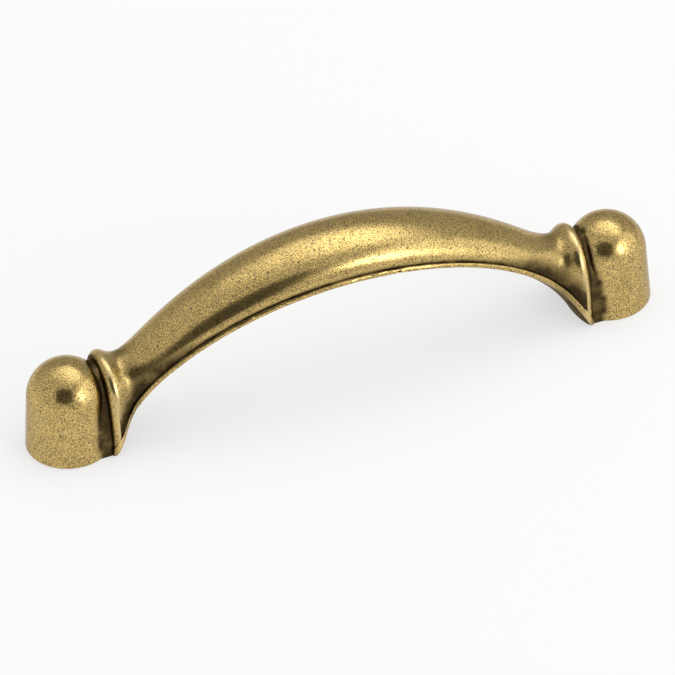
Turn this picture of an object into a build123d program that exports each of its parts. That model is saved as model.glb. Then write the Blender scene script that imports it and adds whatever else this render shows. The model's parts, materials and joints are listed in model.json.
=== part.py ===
from build123d import *
import os
from math import acos, atan2, cos, hypot, pi, sin, sqrt, tan

# Arch pull: one casting, a bowed grip whose beaded collars run into two domed posts.
# X runs along the pull, Y across it, Z away from the drawer front; the origin is midway between the feet.

# Posts, in millimetres
screw_spacing = 76.2
post_base_radius = 5.82
post_height = 13.05
post_foot_chamfer = 0.2
dome_radius = 5.3

# Blind screw hole in each post, at the size it is drilled for a number 8 machine screw
screw_hole_radius = 1.75
screw_hole_depth = 8.5
screw_hole_mouth = 0.4
drill_point_depth = 1.0

# Bow: a parabola over the crown and one along each side, and an ellipse along the ridge
crown_height = 23.57
shoulder_height = 15.42
shoulder_inset = 13.45
ridge_apex_height = 18.5
ridge_foot_inset = 4.45
ridge_ellipse_height = 27.6
grip_half_width = 6.07
neck_start_half_width = 4.87
neck_start_inset = 14.7

# Parting ridge along the lower edge, and the rounded underside below it
ridge_height = 0.8
ridge_proud = 0.35
ridge_flank = 0.2
underside_depth = 1.15

# Neck, ending under the collar's bead; an inset is measured from the post's axis towards mid-span
waist_height = 11.8
waist_inset = 6.75
neck_half_width = 4.33
neck_inset = 8.35
collar_height = 12.05
collar_half_width = 5.7
collar_inset = 5.15
neck_end_inset = 4.4

# Bead around the collar, its edges sunk into the neck, and the groove between bead and post
bead_rise = 0.55
bead_sink = 0.4
bead_half_depth = 0.92
groove_depth = 0.3
groove_end_inset = 1.6

# Roundness of the section's crown, at mid-span and at the collar
grip_side_fullness = 0.56
grip_top_fullness = 0.49
collar_side_fullness = 0.7
collar_top_fullness = 0.55

# Number of lofted steps in each stretch of one half
bow_steps = 4
neck_steps = 7
bead_steps = 7

# Places along X
post_x = screw_spacing / 2
shoulder_x = post_x - shoulder_inset
waist_x = post_x - waist_inset
neck_start_x = post_x - neck_start_inset
neck_x = post_x - neck_inset
collar_x = post_x - collar_inset
neck_end_x = post_x - neck_end_inset
groove_end_x = post_x - groove_end_inset
ridge_foot_x = post_x - ridge_foot_inset

# Ellipse of the ridge's lower edge, which meets the mounting plane at ridge_foot_x
ridge_centre_z = ridge_apex_height - ridge_ellipse_height
ridge_ellipse_length = ridge_foot_x / sqrt(1 - (ridge_centre_z / ridge_ellipse_height) ** 2)


def blend(x, start, end):
    """Cubic between two (place, value, slope) ends."""
    x0, y0, s0 = start
    x1, y1, s1 = end
    span = x1 - x0
    t = (x - x0) / span
    rise = (3 - 2 * t) * t**2
    return y0 + (y1 - y0) * rise + span * t * (1 - t) * (s0 * (1 - t) - s1 * t)


def bow_line(x, apex, join, low, collar):
    """A parabola from mid-span to join, then a cove down to low and up to collar, level from there on."""
    x = abs(x)
    join_x, join_value = join
    drop = apex - join_value
    if x <= join_x:
        return apex - drop * (x / join_x) ** 2
    if x <= low[0]:
        return blend(x, (*join, -2 * drop / join_x), (*low, 0))
    return blend(min(x, collar[0]), (*low, 0), (*collar, 0))


def crown_z(x):
    """Top of the section at x."""
    join = (shoulder_x, shoulder_height)
    low = (waist_x, waist_height)
    return bow_line(x, crown_height, join, low, (collar_x, collar_height))


def half_width(x):
    """Half the width of the section at x, over the ridge."""
    join = (neck_start_x, neck_start_half_width)
    low = (neck_x, neck_half_width)
    return bow_line(x, grip_half_width, join, low, (collar_x, collar_half_width))


def arch_z(x, offset):
    """Ellipse this far outside the ridge's lower edge, run on straight below the mounting plane."""
    length = ridge_ellipse_length + offset
    height = ridge_ellipse_height + offset
    reach = length * sqrt(1 - (ridge_centre_z / height) ** 2)
    if abs(x) <= reach:
        return ridge_centre_z + height * sqrt(1 - (x / length) ** 2)
    return (abs(x) - reach) * (height / length) ** 2 * reach / ridge_centre_z


def collar_share(x):
    """0 along the bow, rising smoothly to 1 at the collar."""
    t = min(1, max(0, (abs(x) - shoulder_x) / (collar_x - shoulder_x)))
    return (3 - 2 * t) * t**2


def crown_edge(x, side, base_z, top):
    """Half of the crown's outline, from the foot of one side up to the top."""
    share = collar_share(x)
    side_fullness = grip_side_fullness + (collar_side_fullness - grip_side_fullness) * share
    top_fullness = grip_top_fullness + (collar_top_fullness - grip_top_fullness) * share
    shoulder_z = base_z + (top - base_z) * side_fullness
    return Bezier((x, side, base_z), (x, side, shoulder_z), (x, side * top_fullness, top), (x, 0, top))


def grip_section(x):
    """Closed outline of the grip in the plane at x: rounded underside, then ridge and crown on each side."""
    ridge_top = arch_z(x, ridge_height)
    band_top = arch_z(x, ridge_height - ridge_flank)
    band_low = arch_z(x, ridge_flank)
    ridge_low = arch_z(x, 0)
    bottom = arch_z(x, -underside_depth)
    edge = half_width(x)
    side = edge - ridge_proud

    def side_outline(s):
        foot = (x, s * side, ridge_low)
        head = (x, s * side, ridge_top)
        ridge = Polyline(foot, (x, s * edge, band_low), (x, s * edge, band_top), head)
        return [*ridge.edges(), crown_edge(x, s * side, ridge_top, crown_z(x))]

    underside = ThreePointArc((x, -side, ridge_low), (x, 0, bottom), (x, side, ridge_low))
    return Face(Wire([underside, *side_outline(1), *side_outline(-1)]))


def collar_section(x, base_z, swell):
    """Closed outline in the plane at x, flat at base_z and swollen this far outside the neck."""
    side = half_width(x) - ridge_proud + swell
    crown = [crown_edge(x, s * side, base_z, crown_z(x) + swell) for s in (1, -1)]
    return Face(Wire([Line((x, side, base_z), (x, -side, base_z)), *crown]))


def make_bead():
    """The bead of the right collar, half an ellipse along X and level with the ridge at its lower ends."""
    sections = []
    for i in range(bead_steps + 1):
        turn = pi * i / bead_steps
        x = collar_x - bead_half_depth * cos(turn)
        swell = (bead_rise + bead_sink) * sin(turn) - bead_sink
        sections.append(collar_section(x, arch_z(x, ridge_height / 2), swell))
    return loft(sections, ruled=True)


def make_groove_floor():
    """The right collar between bead and post, where the groove is."""
    return extrude(collar_section(neck_end_x, 0, -groove_depth), groove_end_x - neck_end_x, dir=(1, 0, 0))


def section_places():
    """Places of the grip's lofted sections, from one end of the neck to the other."""
    bow = [shoulder_x * i / bow_steps for i in range(bow_steps)]
    neck = [shoulder_x + (neck_end_x - shoulder_x) * i / neck_steps for i in range(neck_steps + 1)]
    half = bow + neck
    return [-x for x in reversed(half[1:])] + half


def make_grip():
    """The bow with both collars, trimmed flat at the mounting plane."""
    bow = split(loft([grip_section(x) for x in section_places()]), bisect_by=Plane.XY, keep=Keep.TOP)
    collar = make_bead() + make_groove_floor()
    return bow + collar + mirror(collar, about=Plane.YZ)


def make_post():
    """One post standing at the origin, its tapered side running smoothly into a ball top."""
    centre_z = post_height - dome_radius
    taper = acos(dome_radius / hypot(post_base_radius, centre_z)) - atan2(centre_z, post_base_radius)
    foot = post_foot_chamfer
    side_foot = (post_base_radius - foot * tan(taper), foot)
    shoulder = (dome_radius * cos(taper), centre_z + dome_radius * sin(taper))
    side = Polyline((0, post_height), (0, 0), (post_base_radius - foot, 0), side_foot, shoulder)
    dome = TangentArc(shoulder, (0, post_height), tangent=(-sin(taper), cos(taper)))
    return revolve(Plane.XZ * make_face([*side.edges(), dome]), Axis.Z)


def make_screw_hole():
    """The space of one blind hole: chamfered mouth, drilled bore and drill point."""
    mouth_radius = screw_hole_radius + screw_hole_mouth
    tip = screw_hole_depth + drill_point_depth
    outline = Polyline(
        (0, 0),
        (mouth_radius, 0),
        (screw_hole_radius, screw_hole_mouth),
        (screw_hole_radius, screw_hole_depth),
        (0, tip),
        close=True,
    )
    return revolve(Plane.XZ * make_face(outline), Axis.Z)


feet = [Pos(-post_x, 0, 0), Pos(post_x, 0, 0)]
pull = make_grip()
for foot in feet:
    pull = pull + foot * make_post()
for foot in feet:
    pull = pull - foot * make_screw_hole()

os.makedirs("parts", exist_ok=True)
export_step(pull, "parts/arch_pull.step")
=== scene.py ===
import json
from math import acos, atan2, cos, hypot, pi, radians, sin, sqrt

import bmesh
import bpy
import numpy as np
from mathutils import Matrix, Vector, noise
from mathutils.bvhtree import BVHTree
from mathutils.kdtree import KDTree


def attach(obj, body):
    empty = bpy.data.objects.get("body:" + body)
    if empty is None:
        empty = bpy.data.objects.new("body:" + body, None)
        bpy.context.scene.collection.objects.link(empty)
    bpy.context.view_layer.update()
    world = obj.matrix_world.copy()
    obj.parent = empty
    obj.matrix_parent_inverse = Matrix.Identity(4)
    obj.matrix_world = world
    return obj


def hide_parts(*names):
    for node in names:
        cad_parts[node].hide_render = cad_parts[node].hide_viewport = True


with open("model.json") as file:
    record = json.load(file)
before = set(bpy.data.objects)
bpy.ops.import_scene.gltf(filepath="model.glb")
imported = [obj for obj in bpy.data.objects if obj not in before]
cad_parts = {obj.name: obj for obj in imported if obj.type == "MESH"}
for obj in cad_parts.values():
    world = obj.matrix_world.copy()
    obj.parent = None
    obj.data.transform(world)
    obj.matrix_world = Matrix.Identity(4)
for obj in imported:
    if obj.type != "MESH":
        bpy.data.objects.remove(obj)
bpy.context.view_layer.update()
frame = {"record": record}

# Arch pull: the casting with its rough parting ridge, tapped holes and antique finish, on a pale floor.
# Sizes of the pull are in millimetres, those of lamps, floor and camera in metres.
MM = 0.001
mounts = {mount["name"]: mount for mount in frame["record"]["mounts"]}
screw_spacing = mounts["screw_holes"]["dims"]["spacing_x_mm"]
screw_hole_radius = mounts["screw_holes"]["dims"]["hole_r_mm"]

# Posts and their tapped holes
post_base_radius = 5.82
post_height = 13.05
post_foot_rounding = 0.3
dome_radius = 5.3
screw_hole_depth = 8.5
screw_hole_mouth = 0.4
drill_point_depth = 1.0
thread_pitch = 0.794
thread_depth = 0.3
foot_spare = 1.0
sole_tolerance = 0.001

# Bow and parting ridge
crown_height = 23.57
shoulder_height = 15.42
shoulder_inset = 13.45
ridge_apex_height = 18.5
ridge_foot_inset = 4.45
ridge_ellipse_height = 27.6
grip_half_width = 6.07
neck_start_half_width = 4.87
neck_start_inset = 14.7
ridge_height = 0.8
ridge_proud = 0.35
ridge_least_proud = 0.12
crevice_depth = 0.05
crevice_width = 0.3
underside_depth = 1.15

# Neck and beaded collar
waist_height = 11.8
waist_inset = 6.75
neck_half_width = 4.33
neck_inset = 8.35
collar_height = 12.05
collar_half_width = 5.7
collar_inset = 5.15
neck_end_inset = 4.4
bead_rise = 0.55
bead_sink = 0.4
bead_half_depth = 0.92
bead_run_out = 2.2
groove_depth = 0.3
groove_end_inset = 1.6
tip_rounding = 0.8
tip_pull = 0.35
grip_side_fullness = 0.56
grip_top_fullness = 0.49
collar_side_fullness = 0.7
collar_top_fullness = 0.55

# Roughness of the parting ridge, where flash was broken off and filed
flash_wave = 0.06
flash_grain = 0.05
flash_break_x = 7.0
flash_break_length = 5.0
flash_break_gain = 2.0
flash_wave_scale = (0.55, 3, 9)
flash_grain_scale = (2.6, 4, 9)
flash_grain_shift = (0, 0, 5)

# Dark patina: how shut in a place is where it starts and is full, and its reach from groove and ridge; then
# the painted highlight on the bead crests and the painted shade under the necks
hollow_reach = 4.0
hollow_rays = 20
ray_start = 0.02
hollow_stain = (0.06, 0.30)
post_stain = (0.0, 1.35)
bead_stain = (0.1, 0.75)
groove_stain = 0.78
cove_stain = 0.38
cove_inset = 7.8
cove_reach = 3.2
# Painted highlight: the bead crests are paled as if lit, through the edge marks
crest_highlight = 0.19
crest_highlight_start = 0.7
ridge_stain = (0.62, 0.85)
neck_stain = (0.86, 3.4)
neck_stain_and_shade_inset = 19.0
# Painted shade: the undersides of the necks, below the ridge, are darkened as if in shadow
painted_under_shade = 0.75
under_shade_gap = 0.05
crevice_drop = 0.1
slope_step = 0.1

# Antique brass: its colours, then the scales of grain, pits and clouds and the ranges they act over
dark_speckle = ((0.19, 0.130, 0.038), (0.23, 0.160, 0.048))
pale_metal = ((0.74, 0.518, 0.161), (0.84, 0.594, 0.191))
pit_colour = (0.10, 0.065, 0.025)
# Pale metal for rubbed edges and for the painted highlight on the bead crests
wear_and_highlight_colour = (0.88, 0.68, 0.33)
# Dark brown of the patina in hollows and grooves, also used as painted shade under the necks
patina_and_shade_colour = (0.045, 0.028, 0.011)
edge_tint = (0.62, 0.55, 0.42)
grain_scale = 6400
pit_scale = 3000
cloud_scale = 420
cloud_range = (0.3, 0.7)
grain_range = (0.31, 0.69)
pit_range = (0.30, 0.38)
wear_and_highlight_range = (0.06, 0.3)
wear_and_highlight_limit = 0.8
speckle_share = 0.9
patina_and_shade_spread = (0.84, 1.26)
stain_and_shade_range = (0.1, 0.9)

# Gloss and fine relief of the brass
metal_roughness = 0.17
speckle_dullness = 0.05
speckle_dull_range = (0.3, 0.7)
patina_and_shade_dullness = 0.25
coat_weight = 0.6
coat_on_patina_and_shade = 0.05
coat_ior = 1.55
coat_roughness = 0.2
relief_strength = 0.6
relief_height = 0.03
grain_relief = 0.5
pit_relief = 0.6
pit_relief_range = (0.24, 0.38)

# Softboxes: name, degrees right of and above the camera, distance, width, height and brightness
softboxes = (
    ("overhead_core", 17, 68, 0.6, 0.39, 0.26, 0.5),
    ("overhead_middle", 9, 66, 0.6, 0.69, 0.42, 0.5),
    ("overhead_edge", 4, 66, 0.6, 1.0, 0.62, 0.33),
    ("side_core", 41, -3, 0.9, 0.36, 0.36, 2.2),
    ("side_middle", 50, 5, 0.9, 0.55, 0.55, 0.5),
    ("side_edge", 66, 9, 0.9, 1.15, 1.1, 0.52),
)

# Dark card around the camera, white floor and white tent
shade_place = (-5, -3)
shade_distance = 1.06
shade_width = 0.98
shade_height = 0.86
shade_grey = 0.12
shade_scale = 60
card_corners = 48
card_squareness = 0.55
floor_half = 1.5
floor_gap = 0.02 * MM
paper_grey = 0.86
paper_scale = 30
paper_white = 0.6
matt_roughness = 0.9
matt_unevenness = 1.01
tent_strength = 0.76
tent_dark_place = (8, 125)
tent_dark_range = (0.25, 0.95)
tent_loss = 0.32

# Points and sections of the drawn surface
crown_points = 42
ridge_points = 12
belly_points = 30
base_points = 12
bow_sections = 85
neck_sections = 72
bead_sections = 16
bead_end_turn = 1.4
groove_sections = 9
groove_rows = 8
ring_points = 120
dome_rings = 44
side_rings = 26
foot_rings = 6
hole_rings = 88
edge_rounds = 2
least_spacing = 1e-6
sharp_angle = radians(38)

# Camera: where the pull is seen from
camera_azimuth = radians(-19.9)
camera_elevation = radians(39.4)
camera_roll = radians(2.31)
camera_distance = 1.0
camera_near = 0.01
camera_far = 20
image_side = 675
focal_pixels = 7574
sensor_width = 36
aim_left = 0.456 * MM
aim_up = 3.855 * MM

# Places along X
post_x = screw_spacing / 2
shoulder_x = post_x - shoulder_inset
waist_x = post_x - waist_inset
neck_start_x = post_x - neck_start_inset
neck_x = post_x - neck_inset
collar_x = post_x - collar_inset
neck_end_x = post_x - neck_end_inset
groove_end_x = post_x - groove_end_inset
ridge_foot_x = post_x - ridge_foot_inset
wall_reach = screw_spacing

# Angles around the posts and holes
turns = np.linspace(0, 2 * pi, ring_points, endpoint=False)

# Ellipse of the ridge's lower edge
ridge_centre_z = ridge_apex_height - ridge_ellipse_height
ridge_ellipse_length = ridge_foot_x / sqrt(1 - (ridge_centre_z / ridge_ellipse_height) ** 2)


def arc_radius(half_chord, rise):
    """Radius of the arc that rises this much over this half chord."""
    return (half_chord**2 + rise**2) / (2 * rise)


def blend(x, start, end):
    """Cubic between two (place, value, slope) ends."""
    x0, y0, s0 = start
    x1, y1, s1 = end
    span = x1 - x0
    t = (x - x0) / span
    rise = (3 - 2 * t) * t**2
    return y0 + (y1 - y0) * rise + span * t * (1 - t) * (s0 * (1 - t) - s1 * t)


def bow_line(x, apex, join, low, collar):
    """A parabola from mid-span to join, then a cove down to low and up to collar, level from there on."""
    x = abs(x)
    join_x, join_value = join
    drop = apex - join_value
    if x <= join_x:
        return apex - drop * (x / join_x) ** 2
    if x <= low[0]:
        return blend(x, (*join, -2 * drop / join_x), (*low, 0))
    return blend(min(x, collar[0]), (*low, 0), (*collar, 0))


def crown_z(x):
    """Top of the section at x."""
    join = (shoulder_x, shoulder_height)
    low = (waist_x, waist_height)
    return bow_line(x, crown_height, join, low, (collar_x, collar_height))


def half_width(x):
    """Half the width of the section at x, over the ridge."""
    join = (neck_start_x, neck_start_half_width)
    low = (neck_x, neck_half_width)
    return bow_line(x, grip_half_width, join, low, (collar_x, collar_half_width))


def arch_z(x, offset):
    """Ellipse this far outside the ridge's lower edge, run on straight below the mounting plane."""
    length = ridge_ellipse_length + offset
    height = ridge_ellipse_height + offset
    reach = length * sqrt(1 - (ridge_centre_z / height) ** 2)
    if abs(x) <= reach:
        return ridge_centre_z + height * sqrt(1 - (x / length) ** 2)
    return (abs(x) - reach) * (height / length) ** 2 * reach / ridge_centre_z


def smooth_step(value, start, end):
    """0 before start, 1 after end, and a smooth rise between them."""
    t = np.clip((value - start) / (end - start), 0, 1)
    return (3 - 2 * t) * t**2


def bezier(points, count):
    """Points along a cubic, without its last one."""
    t = np.linspace(0, 1, count + 1)[:-1, None]
    p = np.array(points)
    return (1 - t) ** 3 * p[0] + 3 * (1 - t) ** 2 * t * p[1] + 3 * (1 - t) * t**2 * p[2] + t**3 * p[3]


def straight(start, end, count):
    """Points along a line, without its last one."""
    t = np.linspace(0, 1, count + 1)[:-1, None]
    return (1 - t) * np.array(start) + t * np.array(end)


def flash(x, along, side):
    """How far broken flash stands out of the parting ridge."""
    near_break = 1 - smooth_step(abs(x - flash_break_x), 0, flash_break_length)
    place = np.array((x, along, side))
    wave = noise.noise(Vector(place * flash_wave_scale))
    grain = noise.noise(Vector(place * flash_grain_scale + flash_grain_shift))
    return (flash_wave * wave + flash_grain * grain) * (1 + flash_break_gain * near_break)


def bead_swell(x):
    """How far the collar's bead stands out of the neck at x, with a soft flank on the neck's side."""
    past = abs(x) - collar_x
    if past > 0:
        return (bead_rise + bead_sink) * sqrt(max(0, 1 - (past / bead_half_depth) ** 2)) - bead_sink
    return bead_rise * (1 - smooth_step(-past, 0, bead_run_out))


def crown_edge(x, side, base_z, top):
    """Half of the crown's (y, z) outline, from the foot of one side up to the top."""
    share = smooth_step(abs(x), shoulder_x, collar_x)
    side_fullness = grip_side_fullness + (collar_side_fullness - grip_side_fullness) * share
    top_fullness = grip_top_fullness + (collar_top_fullness - grip_top_fullness) * share
    shoulder_z = base_z + (top - base_z) * side_fullness
    edge = bezier([(side, base_z), (side, shoulder_z), (side * top_fullness, top), (0, top)], crown_points)
    return np.concatenate([edge, [(0, top)]])


def both_sides(right_half, left_half, bottom):
    """Closed outline: up one side, down the other, and back along the bottom."""
    return np.concatenate([right_half, left_half[::-1][1:] * (-1, 1), bottom])


def grip_outline(x):
    """Closed (y, z) outline of the grip at x, with its ridge, the crevice above that and the underside."""
    swell = bead_swell(x)
    side = half_width(x) - ridge_proud + swell
    ridge_low = arch_z(x, 0)
    ridge_top = arch_z(x, ridge_height)
    bottom = arch_z(x, -underside_depth)
    crown = crown_edge(x, side, ridge_top, crown_z(x) + swell)
    near_ridge = np.exp(-(((crown[:, 1] - ridge_top) / crevice_width) ** 2))
    crown[:, 0] -= crevice_depth * near_ridge * (crown[:, 0] / side)
    halves = []
    for sign in (1, -1):
        ridge = []
        for turn in np.linspace(0, pi, ridge_points, endpoint=False):
            proud = (max(ridge_proud - swell, ridge_least_proud) + flash(x, turn, sign)) * sin(turn)
            ridge.append((side + proud, arch_z(x, ridge_height * (1 - cos(turn)) / 2)))
        halves.append(np.concatenate([ridge, crown]))
    belly_y = side * np.linspace(-1, 1, belly_points)[1:-1, None]
    belly_radius = arc_radius(side, ridge_low - bottom)
    belly_z = bottom + belly_radius - np.sqrt(belly_radius**2 - belly_y**2)
    outline = both_sides(*halves, np.hstack([belly_y, belly_z]))
    low = np.clip(1 - outline[:, 1] / tip_rounding, 0, 1)
    at_bead = smooth_step(abs(x), collar_x - bead_run_out, collar_x)
    outline[:, 0] *= 1 - at_bead * tip_pull / side * low**2
    return outline


def collar_outline(x, swell):
    """Closed (y, z) outline of the collar at x, swollen this far and run on below the foot."""
    side = half_width(x) - ridge_proud + swell
    half = np.concatenate([[(side, -foot_spare)], crown_edge(x, side, 0, crown_z(x) + swell)])
    base = straight((-side, -foot_spare), (side, -foot_spare), base_points)[1:]
    return both_sides(half, half, base)


def grip_stations():
    """Places of the grip's cross-sections, closer together over the necks and closest over the beads."""
    bow = np.linspace(0, shoulder_x, bow_sections)[:-1]
    neck = np.linspace(shoulder_x, collar_x, neck_sections)[:-1]
    bead = collar_x + bead_half_depth * np.sin(np.linspace(0, bead_end_turn, bead_sections))
    half = np.concatenate([bow, neck, bead])
    return np.concatenate([-half[:0:-1], half])


def grid_faces(rows, columns):
    """Quads of a grid that closes on itself along each row."""
    faces = []
    for i in range(rows - 1):
        for j in range(columns):
            k = (j + 1) % columns
            faces.append((i * columns + j, i * columns + k, (i + 1) * columns + k, (i + 1) * columns + j))
    return faces


def new_object(name, points, faces):
    """A mesh object from points in millimetres, its faces turned outwards."""
    mesh = bpy.data.meshes.new(name)
    mesh.from_pydata([tuple(p) for p in np.asarray(points)], [], faces)
    body = bmesh.new()
    body.from_mesh(mesh)
    bmesh.ops.recalc_face_normals(body, faces=body.faces)
    body.to_mesh(mesh)
    body.free()
    obj = bpy.data.objects.new(name, mesh)
    bpy.context.scene.collection.objects.link(obj)
    return obj


def closed_loft(name, places, outlines):
    """A closed mesh through (y, z) outlines, each in the plane at its place along X."""
    rings = [np.insert(outline, 0, x, axis=1) for x, outline in zip(places, outlines)]
    columns = len(rings[0])
    faces = grid_faces(len(rings), columns)
    faces.append(tuple(range(columns)))
    faces.append(tuple(range((len(rings) - 1) * columns, len(rings) * columns)))
    return new_object(name, np.concatenate(rings), faces)


def make_grip():
    """The bow, necks and beads, run on below the mounting plane."""
    stations = grip_stations()
    return closed_loft("arch_pull_casting", stations, [grip_outline(x) for x in stations])


def make_groove_floor(name, sign):
    """One collar between bead and post, where the groove is."""
    outline = collar_outline(neck_end_x, -groove_depth)
    places = np.linspace(neck_end_x, groove_end_x, groove_sections)
    return closed_loft(name, sign * places, [outline] * len(places))


def ring(radius, z):
    """Points around an upright axis, at one radius or one for each angle."""
    return np.stack([radius * np.cos(turns), radius * np.sin(turns), np.full(len(turns), z)], axis=1)


def turned(name, x, rings, first_tip, last_tip):
    """A closed mesh around the upright axis at x, through rings between tips at these two heights."""
    points = np.concatenate([*rings, [(0, 0, first_tip), (0, 0, last_tip)]])
    around = len(rings[0])
    faces = grid_faces(len(rings), around)
    first = len(rings) * around
    for j in range(around):
        k = (j + 1) % around
        faces.append((first, k, j))
        faces.append((first + 1, first - around + j, first - around + k))
    return new_object(name, points + np.array([x, 0, 0]), faces)


def post_profile():
    """(radius, height) from the dome's top down the side and around the foot, run on below it."""
    centre_z = post_height - dome_radius
    taper = acos(dome_radius / hypot(post_base_radius, centre_z)) - atan2(centre_z, post_base_radius)
    dome_turn = np.linspace(pi / 2, taper, dome_rings)[1:]
    dome = [(dome_radius * cos(a), centre_z + dome_radius * sin(a)) for a in dome_turn]
    r = post_foot_rounding
    foot = [(post_base_radius - r + r * cos(a), r - r * sin(a)) for a in np.linspace(0, pi / 2, foot_rings)]
    side = straight(dome[-1], foot[0], side_rings)[1:]
    return np.concatenate([dome, side, foot, [(post_base_radius - r, -foot_spare)]])


def make_post(name, x):
    """One post with its dome, standing at x."""
    return turned(name, x, [ring(r, z) for r, z in post_profile()], post_height, -foot_spare)


def bore_radius(z):
    """The tapped wall at height z: a V groove that winds up the bore and runs out at both ends."""
    turn = (z / thread_pitch - turns / (2 * pi)) % 1
    groove = 1 - abs(2 * turn - 1)
    mouth = smooth_step(z, screw_hole_mouth, screw_hole_mouth + thread_pitch)
    end = 1 - smooth_step(z, screw_hole_depth - 2 * thread_pitch, screw_hole_depth - thread_pitch)
    return screw_hole_radius + thread_depth * groove * mouth * end


def make_screw_hole(name, x):
    """The space of one tapped blind hole, its mouth run on below the foot."""
    mouth = ring(screw_hole_radius + screw_hole_mouth + foot_spare, -foot_spare)
    heights = np.linspace(screw_hole_mouth, screw_hole_depth, hole_rings)
    wall = [ring(bore_radius(z), z) for z in heights]
    return turned(name, x, [mouth, *wall], -foot_spare, screw_hole_depth + drill_point_depth)


def make_space_behind():
    """The space behind the mounting plane."""
    outline = wall_reach * np.array([(-1, -1), (1, -1), (1, 0), (-1, 0)])
    return closed_loft("space_behind", (-wall_reach, wall_reach), [outline, outline])


def combine(base, other, operation):
    """Joins other to base, or cuts it out of base, and leaves one closed surface."""
    joint = base.modifiers.new("combine", "BOOLEAN")
    joint.operation = operation
    joint.solver = "EXACT"
    joint.object = other
    graph = bpy.context.evaluated_depsgraph_get()
    combined = bpy.data.meshes.new_from_object(base.evaluated_get(graph))
    base.modifiers.clear()
    base.data = combined
    bpy.data.objects.remove(other)


def hemisphere(count):
    """Directions spread evenly over the half space above +Z, more of them near its pole."""
    golden = pi * (3 - sqrt(5))
    directions = []
    for i in range(count):
        height = sqrt((i + 0.5) / count)
        width = sqrt(1 - height**2)
        directions.append(Vector((width * cos(golden * i), width * sin(golden * i), height)))
    return directions


def hollow_share(mesh):
    """How shut in each vertex is: the share of rays that meet the casting again, near hits counting most."""
    tree = BVHTree.FromPolygons([v.co for v in mesh.vertices], [p.vertices for p in mesh.polygons])
    directions = hemisphere(hollow_rays)
    shares = np.zeros(len(mesh.vertices))
    for i, vertex in enumerate(mesh.vertices):
        turn = vertex.normal.to_track_quat("Z", "Y")
        start = vertex.co + vertex.normal * ray_start
        total = 0
        for direction in directions:
            hit = tree.ray_cast(start, turn @ direction, hollow_reach)[3]
            if hit is not None:
                total += 1 - hit / hollow_reach
        shares[i] = total / hollow_rays
    return shares


def edge_share(mesh):
    """How sharply each vertex stands out of its neighbours, 0 on flat and hollow places."""
    count = len(mesh.vertices)
    places = np.empty(count * 3)
    mesh.vertices.foreach_get("co", places)
    places = places.reshape(-1, 3)
    normals = np.array([v.normal for v in mesh.vertices])
    ends = np.empty(len(mesh.edges) * 2, dtype=int)
    mesh.edges.foreach_get("vertices", ends)
    ends = ends.reshape(-1, 2)
    links = np.bincount(ends.ravel(), minlength=count)

    def neighbours(values):
        total = np.zeros_like(values)
        np.add.at(total, ends[:, 0], values[ends[:, 1]])
        np.add.at(total, ends[:, 1], values[ends[:, 0]])
        return total / np.maximum(links, 1).reshape(-1, *[1] * (values.ndim - 1))

    lengths = np.linalg.norm(places[ends[:, 0]] - places[ends[:, 1]], axis=1)
    length_sums = np.bincount(ends.ravel(), weights=np.repeat(lengths, 2), minlength=count)
    spacing = length_sums / np.maximum(links, 1)
    sharpness = ((places - neighbours(places)) * normals).sum(1) / np.maximum(spacing, least_spacing)
    for _ in range(edge_rounds):
        sharpness = (sharpness + neighbours(sharpness)) / 2
    return np.clip(sharpness, 0, 1)


def post_radius(z):
    """Radius of the post at height z."""
    rise = z - (post_height - dome_radius)
    if rise > 0:
        return sqrt(max(0, dome_radius**2 - rise**2))
    return dome_radius + (post_base_radius - dome_radius) * rise / (dome_radius - post_height)


def groove_points():
    """Points along the floor of the right groove, outside the post."""
    points = []
    for x in np.linspace(collar_x + bead_half_depth, groove_end_x, groove_rows):
        for y, z in collar_outline(neck_end_x, -groove_depth):
            if z >= 0 and hypot(x - post_x, y) > post_radius(z):
                points.append((x, y, z))
    return points


def patina_and_shade_share(mesh, hollows):
    """How much dark finish was left on each vertex, in hollows, in the grooves and above the ridge, and how
    much painted shade lies under the necks.
    """
    points = groove_points()
    tree = KDTree(len(points))
    for i, point in enumerate(points):
        tree.insert(point, i)
    tree.balance()
    shares = smooth_step(hollows, *hollow_stain)
    for i, vertex in enumerate(mesh.vertices):
        x, y, z = abs(vertex.co.x), vertex.co.y, vertex.co.z
        near, far = post_stain if x > collar_x + bead_half_depth / 2 else bead_stain
        groove = groove_stain * (1 - smooth_step(tree.find((x, y, z))[2], near, far))
        above = z - arch_z(x, ridge_height)
        slope = (arch_z(x + slope_step, 0) - arch_z(x, 0)) / slope_step
        at_neck = smooth_step(x, post_x - neck_stain_and_shade_inset, neck_x)
        depth, reach = np.array(ridge_stain) * (1 - at_neck) + np.array(neck_stain) * at_neck
        crevice = 0
        if x < collar_x and above > -crevice_drop:
            crevice = depth * (1 - smooth_step(above / hypot(1, slope), 0, reach))
        cove = 0
        if x < collar_x:
            cove = cove_stain * (1 - smooth_step(abs(x - post_x + cove_inset), 0, cove_reach))
        # Painted shade on the underside of the necks, below the ridge's lower edge
        under = painted_under_shade * at_neck if z < arch_z(x, 0) - under_shade_gap else 0
        shares[i] = max(shares[i] + cove * (1 - shares[i]), groove, crevice, under)
    return shares


def crest_highlight_share(mesh):
    """How near each vertex is to the crest of a bead, where a highlight is painted on."""
    places = np.array([(abs(v.co.x), v.co.z) for v in mesh.vertices])
    swell = np.array([bead_swell(x) if x < collar_x + bead_half_depth else 0 for x in places[:, 0]])
    return smooth_step(swell, crest_highlight_start * bead_rise, bead_rise) * (places[:, 1] > 0)


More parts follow.
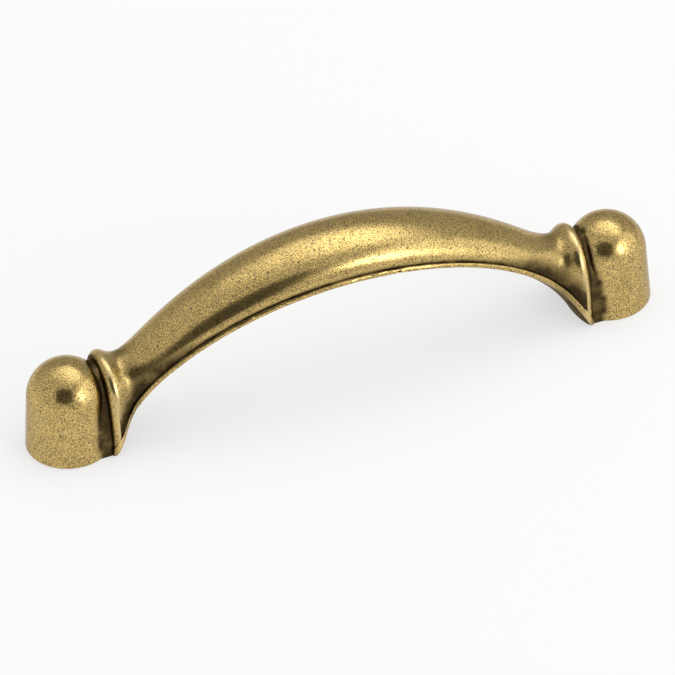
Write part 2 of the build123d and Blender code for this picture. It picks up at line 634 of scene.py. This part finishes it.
def keep_attribute(mesh, name, values):
    """Stores one number per face corner for the material to read, and none on the flat soles."""
    corners = np.empty(len(mesh.loops), dtype=int)
    mesh.loops.foreach_get("vertex_index", corners)
    shares = values[corners]
    for face in mesh.polygons:
        if face.center.z < sole_tolerance and face.normal.z < 0:
            shares[face.loop_start : face.loop_start + face.loop_total] = 0
    attribute = mesh.attributes.new(name, "FLOAT", "CORNER")
    attribute.data.foreach_set("value", np.asarray(shares, dtype=np.float32))


def make_casting():
    """The whole pull as one closed surface in metres, with its hollows and edges marked, and painted shade
    under the necks and a painted highlight on the bead crests.
    """
    casting = make_grip()
    for end, sign in (("left", -1), ("right", 1)):
        combine(casting, make_groove_floor(end + "_groove", sign), "UNION")
        combine(casting, make_post(end + "_post", sign * post_x), "UNION")
    combine(casting, make_space_behind(), "DIFFERENCE")
    for end, sign in (("left", -1), ("right", 1)):
        combine(casting, make_screw_hole(end + "_hole", sign * post_x), "DIFFERENCE")
    mesh = casting.data
    patina_and_shade = patina_and_shade_share(mesh, hollow_share(mesh))
    # Edge marks: rubbed convex edges, and a painted highlight along the bead crests
    edges = np.maximum(edge_share(mesh), crest_highlight * crest_highlight_share(mesh))
    keep_attribute(mesh, "patina_and_shade", patina_and_shade)
    keep_attribute(mesh, "edge", edges)
    mesh.transform(Matrix.Scale(MM, 4))
    mesh.shade_smooth()
    mesh.set_sharp_from_angle(angle=sharp_angle)
    return casting


class Nodes:
    """Short forms for building a material's node tree."""

    def __init__(self, owner, keep=False):
        owner.use_nodes = True
        self.tree = owner.node_tree
        if not keep:
            self.tree.nodes.clear()

    def add(self, kind, **settings):
        node = self.tree.nodes.new("ShaderNode" + kind)
        for name, value in settings.items():
            setattr(node, name, value)
        return node

    def link(self, source, target):
        self.tree.links.new(source, target)

    def attribute(self, name):
        return self.add("Attribute", attribute_name=name).outputs["Fac"]

    def noise(self, place, scale, detail):
        node = self.add("TexNoise")
        self.link(place, node.inputs["Vector"])
        node.inputs["Scale"].default_value = scale
        node.inputs["Detail"].default_value = detail
        return node.outputs["Fac"]

    def range(self, value, low, high, to_low=0.0, to_high=1.0):
        node = self.add("MapRange", interpolation_type="SMOOTHSTEP")
        self.link(value, node.inputs["Value"])
        limits = {"From Min": low, "From Max": high, "To Min": to_low, "To Max": to_high}
        for name, number in limits.items():
            node.inputs[name].default_value = number
        return node.outputs["Result"]

    def math(self, operation, a, b):
        node = self.add("Math", operation=operation)
        for socket, value in zip(node.inputs, (a, b)):
            if isinstance(value, (int, float)):
                socket.default_value = value
            else:
                self.link(value, socket)
        return node.outputs["Value"]

    def mix(self, factor, a, b):
        node = self.add("Mix", data_type="RGBA")
        for name, value in (("Factor", factor), ("A", a), ("B", b)):
            socket = node.inputs[name]
            if isinstance(value, tuple):
                socket.default_value = (*value, 1)
            else:
                self.link(value, socket)
        return node.outputs["Result"]


def antique_brass():
    """Burnished brass: fine dark speckle, brown oxide in the hollows and painted shade under the necks,
    paler metal on rubbed edges and a painted highlight on the bead crests.
    """
    material = bpy.data.materials.new("antique_brass")
    n = Nodes(material)
    place = n.add("TexCoord").outputs["Object"]
    grain = n.noise(place, grain_scale, 1.0)
    pits = n.noise(place, pit_scale, 2.0)
    clouds = n.noise(place, cloud_scale, 3.0)
    dark = n.mix(n.range(clouds, *cloud_range), *dark_speckle)
    pale = n.mix(n.range(clouds, *cloud_range), *pale_metal)
    grained = n.mix(n.range(grain, *grain_range), dark, pale)
    pitted = n.mix(n.range(pits, *pit_range, 1.0, 0.0), grained, pit_colour)
    # Paler metal on rubbed edges and a painted highlight on the bead crests
    wear_and_highlight = n.mix(n.range(n.attribute("edge"), *wear_and_highlight_range, 0.0, wear_and_highlight_limit), pitted, wear_and_highlight_colour)
    speckle = n.math("MULTIPLY", n.math("SUBTRACT", grain, 0.5), speckle_share)
    # Dark brown patina in the hollows and grooves, with painted shade under the necks
    uneven = n.math("MULTIPLY", n.attribute("patina_and_shade"), n.range(clouds, *cloud_range, *patina_and_shade_spread))
    stained_and_shaded = n.range(n.math("ADD", uneven, speckle), *stain_and_shade_range)
    speckle_dull = n.range(grain, *speckle_dull_range, speckle_dullness, 0.0)
    dull = n.math("ADD", speckle_dull, n.math("MULTIPLY", stained_and_shaded, patina_and_shade_dullness))
    sunk_pits = n.math("MULTIPLY", n.range(pits, *pit_relief_range), pit_relief)
    bump = n.add("Bump")
    bump.inputs["Strength"].default_value = relief_strength
    bump.inputs["Distance"].default_value = relief_height * MM
    n.link(n.math("ADD", n.math("MULTIPLY", grain, grain_relief), sunk_pits), bump.inputs["Height"])
    shader = n.add("BsdfPrincipled")
    shader.inputs["Metallic"].default_value = 1.0
    shader.inputs["Specular Tint"].default_value = (*edge_tint, 1)
    shader.inputs["Coat IOR"].default_value = coat_ior
    shader.inputs["Coat Roughness"].default_value = coat_roughness
    n.link(n.range(stained_and_shaded, 0.0, 1.0, coat_weight, coat_on_patina_and_shade), shader.inputs["Coat Weight"])
    n.link(n.mix(stained_and_shaded, wear_and_highlight, patina_and_shade_colour), shader.inputs["Base Color"])
    n.link(n.math("ADD", dull, metal_roughness), shader.inputs["Roughness"])
    n.link(bump.outputs["Normal"], shader.inputs["Normal"])
    n.link(shader.outputs["BSDF"], n.add("OutputMaterial").inputs["Surface"])
    return material


def plain_material(name, grey, scale):
    """A matt studio surface with a faint unevenness."""
    material = bpy.data.materials.new(name)
    n = Nodes(material)
    place = n.add("TexCoord").outputs["Object"]
    shade = n.noise(place, scale, 2.0)
    shader = n.add("BsdfPrincipled")
    paler = matt_unevenness * grey
    n.link(n.mix(shade, (grey, grey, grey), (paler, paler, paler)), shader.inputs["Base Color"])
    shader.inputs["Roughness"].default_value = matt_roughness
    shader.inputs["Specular IOR Level"].default_value = 0.0
    n.link(shader.outputs["BSDF"], n.add("OutputMaterial").inputs["Surface"])
    return material


# Camera axes: right and up in the picture, and back from the object
level_right = Vector((cos(camera_azimuth), sin(camera_azimuth), 0))
back = Vector((
    sin(camera_azimuth) * cos(camera_elevation),
    -cos(camera_azimuth) * cos(camera_elevation),
    sin(camera_elevation),
))
level_up = back.cross(level_right)
right = level_right * cos(camera_roll) - level_up * sin(camera_roll)
up = level_right * sin(camera_roll) + level_up * cos(camera_roll)


def toward(rightwards, upwards):
    """World direction at these angles, in degrees, right of and above the camera as the pull sees it."""
    angle = radians(hypot(rightwards, upwards))
    turn = atan2(upwards, rightwards)
    return right * (sin(angle) * cos(turn)) + up * (sin(angle) * sin(turn)) + back * cos(angle)


def facing(direction, distance):
    """Placement at that distance along direction, turned to face the origin."""
    turn = direction.to_track_quat("Z", "Y").to_matrix().to_4x4()
    return Matrix.Translation(direction * distance) @ turn


def make_camera():
    """The camera, which looks down on the pull from its left."""
    data = bpy.data.cameras.new("camera")
    data.sensor_width = sensor_width
    data.lens = sensor_width * focal_pixels / image_side
    data.clip_start = camera_near
    data.clip_end = camera_far
    camera = bpy.data.objects.new("camera", data)
    place = back * camera_distance - right * aim_left + up * aim_up
    camera.matrix_world = Matrix.Translation(place) @ Matrix((right, up, back)).transposed().to_4x4()
    bpy.context.scene.collection.objects.link(camera)
    bpy.context.scene.camera = camera


def make_softbox(name, direction, distance, width, height, radiance):
    """A soft oval lamp with this brightness over its face."""
    data = bpy.data.lights.new(name, "AREA")
    data.shape = "ELLIPSE"
    data.size = width
    data.size_y = height
    data.energy = radiance * pi * width * height
    lamp = bpy.data.objects.new(name, data)
    lamp.matrix_world = facing(direction, distance)
    bpy.context.scene.collection.objects.link(lamp)


def make_card(name, direction, distance, width, height, material):
    """A round-cornered flat card that shows only in reflections."""
    outline = []
    for turn in np.linspace(0, 2 * pi, card_corners, endpoint=False):
        x, y = (np.sign(c) * abs(c) ** card_squareness for c in (cos(turn), sin(turn)))
        outline.append((x * width / 2, y * height / 2, 0))
    mesh = bpy.data.meshes.new(name)
    mesh.from_pydata(outline, [], [tuple(range(len(outline)))])
    mesh.materials.append(material)
    card = bpy.data.objects.new(name, mesh)
    card.matrix_world = facing(direction, distance)
    card.visible_camera = False
    card.visible_diffuse = False
    card.visible_shadow = False
    bpy.context.scene.collection.objects.link(card)


def white_paper():
    """Matt white paper that shows as an even white, the object's shadow faint on it."""
    material = plain_material("floor_paper", paper_grey, paper_scale)
    n = Nodes(material, keep=True)
    output = n.tree.nodes["Material Output"]
    paper = output.inputs["Surface"].links[0].from_socket
    path = n.add("LightPath").outputs
    mirrored = n.math("MAXIMUM", path["Is Glossy Ray"], path["Is Transmission Ray"])
    seen = n.math("MAXIMUM", path["Is Camera Ray"], mirrored)
    white = n.add("Emission")
    white.inputs["Color"].default_value = (1, 1, 1, 1)
    white.inputs["Strength"].default_value = 1.0
    mixed = n.add("MixShader")
    n.link(n.math("MULTIPLY", seen, paper_white), mixed.inputs["Fac"])
    n.link(paper, mixed.inputs[1])
    n.link(white.outputs["Emission"], mixed.inputs[2])
    n.link(mixed.outputs["Shader"], output.inputs["Surface"])
    return material


def make_floor():
    """A wide pale floor under the feet."""
    mesh = bpy.data.meshes.new("floor")
    corners = [(x * floor_half, y * floor_half, 0) for x, y in ((-1, -1), (1, -1), (1, 1), (-1, 1))]
    mesh.from_pydata(corners, [], [(0, 1, 2, 3)])
    mesh.materials.append(white_paper())
    floor = bpy.data.objects.new("floor", mesh)
    floor.location.z = -floor_gap
    bpy.context.scene.collection.objects.link(floor)


def make_tent():
    """White cloth all around, with less light from one side."""
    world = bpy.context.scene.world or bpy.data.worlds.new("tent")
    bpy.context.scene.world = world
    n = Nodes(world)
    along = n.add("VectorMath", operation="DOT_PRODUCT")
    n.link(n.add("TexCoord").outputs["Generated"], along.inputs[0])
    along.inputs[1].default_value = toward(*tent_dark_place)
    cloth = n.add("Background")
    cloth.inputs["Color"].default_value = (1, 1, 1, 1)
    least = tent_strength * (1 - tent_loss)
    n.link(n.range(along.outputs["Value"], *tent_dark_range, tent_strength, least), cloth.inputs["Strength"])
    n.link(cloth.outputs["Background"], n.add("OutputWorld").inputs["Surface"])


casting = make_casting()
casting.data.materials.clear()
casting.data.materials.append(antique_brass())
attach(casting, "root")
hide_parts("arch_pull")

make_camera()
make_floor()
for name, rightwards, upwards, distance, width, height, radiance in softboxes:
    make_softbox(name, toward(rightwards, upwards), distance, width, height, radiance)
dark_cloth = plain_material("dark_cloth", shade_grey, shade_scale)
make_card("camera_shade", toward(*shade_place), shade_distance, shade_width, shade_height, dark_cloth)
make_tent()
bpy.context.scene.view_settings.view_transform = "Standard"
